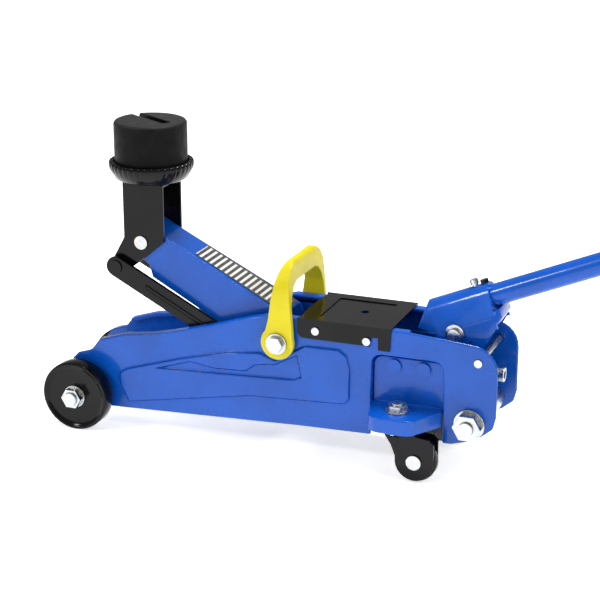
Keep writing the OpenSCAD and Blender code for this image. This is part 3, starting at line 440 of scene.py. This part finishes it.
def grip_profile(r, half, ridges):
    """Section of the grip: a smooth collar, the ridges, and a closed end with a pin-sized vent."""
    wall, end_wall, vent = 2.5, 4, 0.3
    groove, crest = r - 0.9, r - 0.05
    pitch = (2 * half - 14) / ridges
    outer = [(r - 0.8, -half), (r, 0.9 - half), (r, 4 - half)]
    for i in range(ridges):
        at = 6 - half + i * pitch
        outer += [(groove, at), (groove, at + pitch * 0.35)]
        outer += [(crest, at + pitch * 0.5), (crest, at + pitch * 0.85)]
    outer += [(r, half - 6), (r, half - 1.4), (r - 0.5, half - 0.5), (r - 1.5, half)]
    inside = [(vent, half), (vent, half - end_wall), (r - wall, half - end_wall)]
    return [(r - wall, -half)] + outer + inside


def cup_profile(r, h, inner):
    """Section of the saddle cup: stem, dished underside, flared flank, rim and the pad's seat."""
    stem_r, seat_z, bore = 8, 10.45, 1
    stem = [(bore, 0), (stem_r - 0.4, 0), (stem_r, 0.4), (stem_r, 6.5)]
    underside = [(inner - 7, 6.5), (inner - 3, 7.2), (inner, 9)]
    flank = [(r - 2.2, h - 9.6), (r - 0.6, h - 6.6), (r, h - 4.6)]
    rim = [(r, h - 2), (r - 0.5, h - 0.6), (r - 1.6, h)]
    lip = [(inner + 1.2, h), (inner + 0.3, h - 0.8), (inner, h - 2)]
    seat = [(inner, 10.6), (inner - 0.1, seat_z), (bore, seat_z)]
    return stem + underside + flank + rim + lip + seat


def notch_rim(bm, centre, r, h, notches):
    """Casts shallow notches into the top and the flank of the cup's rim."""
    top_depth, flank_share = 0.9 * MM, 0.018
    for v in bm.verts:
        out = v.co - centre
        notch = max(0, math.cos(math.atan2(out.y, out.x) * notches)) ** 2
        if out.z > (h - 2.5) * MM:
            v.co.z -= top_depth * notch
        if out.z > (h - 7) * MM and out.xy.length > (r - 0.9) * MM:
            v.co.xy = centre.xy + out.xy * (1 - flank_share * notch)


def front_wheel_face(r, w):
    """Half section of a front wheel: the dished disc, the lip and the tread's rounded shoulder."""
    bore, disc, lip = 6.08, w - 2.4, r - 3.4
    return [(bore, disc), (11, disc), (lip - 3, disc), (lip - 1.2, w - 2.1), (lip, w - 0.7),
            (lip + 0.8, w - 0.1), (r - 1.6, w), (r - 0.5, w - 0.5), (r, w - 1.6)]


def caster_wheel_face(r, w):
    """Half section of a caster wheel: the hub's face, a shallow recess and the rounded shoulder."""
    bore = 4.06
    return [(bore, w), (8.5, w), (9.3, w - 0.8), (r - 5, w - 0.9), (r - 3.6, w - 0.1), (r - 2.2, w),
            (r - 0.6, w - 0.7), (r, w - 2)]


def wheel(node, finish_name, face_of, steps):
    """A wheel turned about its axle, the same on both faces."""
    low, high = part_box(node)
    face = face_of((high.x - low.x) / 2 / MM, (high.y - low.y) / 2 / MM)
    profile = face + [(r, -along) for r, along in reversed(face)]
    piece(lathe(profile, (0, 1, 0), middle_of(node), steps), node + "_rim", finish_name, node, 40)


# ---- operators ----

class JACK_OT_finishes(Operator):
    """Give every carried-over piece the finish of the real one"""
    bl_idname = "jack.finishes"
    bl_label = "Finishes"

    def execute(self, context):
        make_materials()
        for name, cad in frame["nodes"].items():
            cad.data.materials.clear()
            cad.data.materials.append(MATERIALS[FINISH_OF_SLOT[slot_of(name)]])
        return {"FINISHED"}


class JACK_OT_plates(Operator):
    """Ease the edges of the pressed and welded steel pieces"""
    bl_idname = "jack.plates"
    bl_label = "Pressed steel"

    def execute(self, context):
        r = sizes().press_radius
        for node in ("side_plate_left", "side_plate_right", "lift_arm", "caster_bracket_left",
                     "caster_bracket_right"):
            eased(node, "_pressing", "coat", r, 3)
        eased("handle_socket", "_pressing", "coat", 0, smooth=58)
        for node in ("saddle_bracket", "radius_link_left", "radius_link_right", "caster_yoke_left",
                     "caster_yoke_right"):
            eased(node, "_pressing", "enamel", r * 0.5)
        eased("cover_plate", "_pressing", "enamel", r * 0.3)
        return {"FINISHED"}


class JACK_OT_mouldings(Operator):
    """Mould the carry handle and the ribbed grip"""
    bl_idname = "jack.mouldings"
    bl_label = "Mouldings"

    def execute(self, context):
        eased("carry_handle", "_moulding", "yellow", sizes().mould_radius, 3, 40)
        r, half, tilt = grip_line()
        along = (math.cos(tilt), 0, math.sin(tilt))
        bm = lathe(grip_profile(r, half, sizes().grip_ridges), along, middle_of("handle_grip"), 48)
        piece(bm, "handle_grip_ribbed", "rubber", "handle_grip", 40)
        return {"FINISHED"}


class JACK_OT_saddle(Operator):
    """Mould the pad with its rounded top and cast the cup with its notched rim"""
    bl_idname = "jack.saddle"
    bl_label = "Saddle"

    def execute(self, context):
        low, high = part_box("rubber_pad")
        axis = middle_of("rubber_pad").xy
        pad_r = (high.x - low.x) / 2

        def on_top_rim(v):
            return abs((v.co.xy - axis).length - pad_r) < 0.2 * MM and v.co.z > high.z - 0.1 * MM

        bm = cad_mesh("rubber_pad")
        round_edges(bm, [e for e in bm.edges if all(map(on_top_rim, e.verts))], 3.2 * MM, 6)
        bmesh.ops.recalc_face_normals(bm, faces=bm.faces)
        piece(bm, "rubber_pad_moulding", "rubber", "rubber_pad")

        low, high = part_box("saddle_cup")
        r, h = (high.x - low.x) / 2 / MM, (high.z - low.z) / MM
        foot = Vector(((low.x + high.x) / 2, (low.y + high.y) / 2, low.z))
        pad_play = 0.3
        notches = sizes().rim_notches
        bm = lathe(cup_profile(r, h, pad_r / MM + pad_play), (0, 0, 1), foot, notches * 6)
        notch_rim(bm, foot, r, h, notches)
        piece(bm, "saddle_cup_casting", "enamel", "saddle_cup", 40)
        return {"FINISHED"}


class JACK_OT_wheels(Operator):
    """Turn the front wheels and the caster wheels"""
    bl_idname = "jack.wheels"
    bl_label = "Wheels"

    def execute(self, context):
        for side in ("left", "right"):
            wheel("front_wheel_" + side, "enamel", front_wheel_face, 96)
            wheel("caster_wheel_" + side, "satin", caster_wheel_face, 72)
        return {"FINISHED"}


class JACK_OT_fasteners(Operator):
    """Ease the corners of the nuts and the ends of the pins"""
    bl_idname = "jack.fasteners"
    bl_label = "Fasteners"

    def execute(self, context):
        for node in ("axle_nuts", "axle_washers", "king_bolts", "carry_handle_bolts", "cover_screws",
                     "arm_front_pin", "caster_axle_left", "caster_axle_right", "rear_tie_rod", "front_axle"):
            eased(node, "_plated", "zinc", 0.35 * MM, 2, 35)
        return {"FINISHED"}


# ---- stage ----

# The camera's place and the point it looks at, in metres from the floor under the front axle
CAMERA_PLACE = Vector((0.6861, -1.2691, 0.5822))
LOOK_AT = Vector((0.1913, 0, 0.1264))

# Name, place from the point looked at in metres, size in metres and power in watts of each soft box
SOFT_BOXES = (
    ("overhead", (0.1, 0.3, 1.6), 0.5, 27),
    ("left_box", (-1.2, -1.3, 1.2), 0.35, 14),
    ("right_box", (1.6, -0.7, 1.3), 0.3, 11),
)


def stand(context, name, data, place, target):
    """A light or camera at a place, turned to a target."""
    made = bpy.data.objects.new(name, data)
    made.location = place
    made.rotation_euler = (target - made.location).to_track_quat("-Z", "Y").to_euler()
    context.scene.collection.objects.link(made)
    return made


def lay_floor(context):
    """A wide sheet of white paper with an even glow, so that it stays pale out to the edges."""
    bm = bmesh.new()
    bmesh.ops.create_grid(bm, x_segments=1, y_segments=1, size=60)
    mesh = bpy.data.meshes.new("floor")
    bm.to_mesh(mesh)
    bm.free()
    floor = bpy.data.objects.new("floor", mesh)
    context.scene.collection.objects.link(floor)
    material, tree = new_material("floor_paper")
    shader = add(tree, "ShaderNodeBsdfPrincipled", Base_Color=[0.95, 0.95, 0.95, 1], Roughness=0.8,
                 Emission_Color=[1, 1, 1, 1], Emission_Strength=0.62)
    add(tree, "ShaderNodeOutputMaterial", Surface=shader.outputs[0])
    mesh.materials.append(material)


def fill_world(context):
    """Even white light from all round."""
    world = bpy.data.worlds.new("studio")
    world.use_nodes = True
    background = world.node_tree.nodes["Background"]
    background.inputs["Color"].default_value = (1, 1, 1, 1)
    background.inputs["Strength"].default_value = 0.38
    context.scene.world = world


class JACK_OT_stage(Operator):
    """Lay the floor and set the lights and the camera"""
    bl_idname = "jack.stage"
    bl_label = "Stage"

    def execute(self, context):
        lay_floor(context)
        fill_world(context)
        context.scene.view_settings.view_transform = "Standard"
        under_axle = Vector((middle_of("front_axle").x, 0, 0))
        target = under_axle + LOOK_AT
        for name, place, size, power in SOFT_BOXES:
            data = bpy.data.lights.new(name, "AREA")
            data.size = size
            data.energy = power
            stand(context, name, data, target + Vector(place), target)
        camera = stand(context, "camera", bpy.data.cameras.new("camera"), under_axle + CAMERA_PLACE, target)
        camera.data.lens = 101.4
        camera.data.sensor_width = 36
        context.scene.camera = camera
        return {"FINISHED"}


OPERATORS = (
    JACK_OT_finishes, JACK_OT_plates, JACK_OT_mouldings, JACK_OT_saddle, JACK_OT_wheels,
    JACK_OT_fasteners, JACK_OT_stage,
)


class JACK_PT_panel(Panel):
    """Sidebar panel with the colours, the sizes and a button for each group of pieces"""
    bl_label = "Trolley jack"
    bl_idname = "JACK_PT_panel"
    bl_space_type = "VIEW_3D"
    bl_region_type = "UI"
    bl_category = "Jack"

    def draw(self, context):
        layout = self.layout
        for group in (context.scene.jack_finish, context.scene.jack_sizes):
            for key in group.__annotations__:
                layout.prop(group, key)
        for operator in OPERATORS:
            layout.operator(operator.bl_idname)


CLASSES = (JackFinish, JackSizes) + OPERATORS + (JACK_PT_panel,)


def register():
    for cls in CLASSES:
        bpy.utils.register_class(cls)
    bpy.types.Scene.jack_finish = PointerProperty(type=JackFinish)
    bpy.types.Scene.jack_sizes = PointerProperty(type=JackSizes)


def unregister():
    del bpy.types.Scene.jack_sizes
    del bpy.types.Scene.jack_finish
    for cls in reversed(CLASSES):
        bpy.utils.unregister_class(cls)


def main():
    """Builds every group in order."""
    register()
    bpy.ops.jack.finishes()
    bpy.ops.jack.plates()
    bpy.ops.jack.mouldings()
    bpy.ops.jack.saddle()
    bpy.ops.jack.wheels()
    bpy.ops.jack.fasteners()
    bpy.ops.jack.stage()


if __name__ == "__main__":
    main()
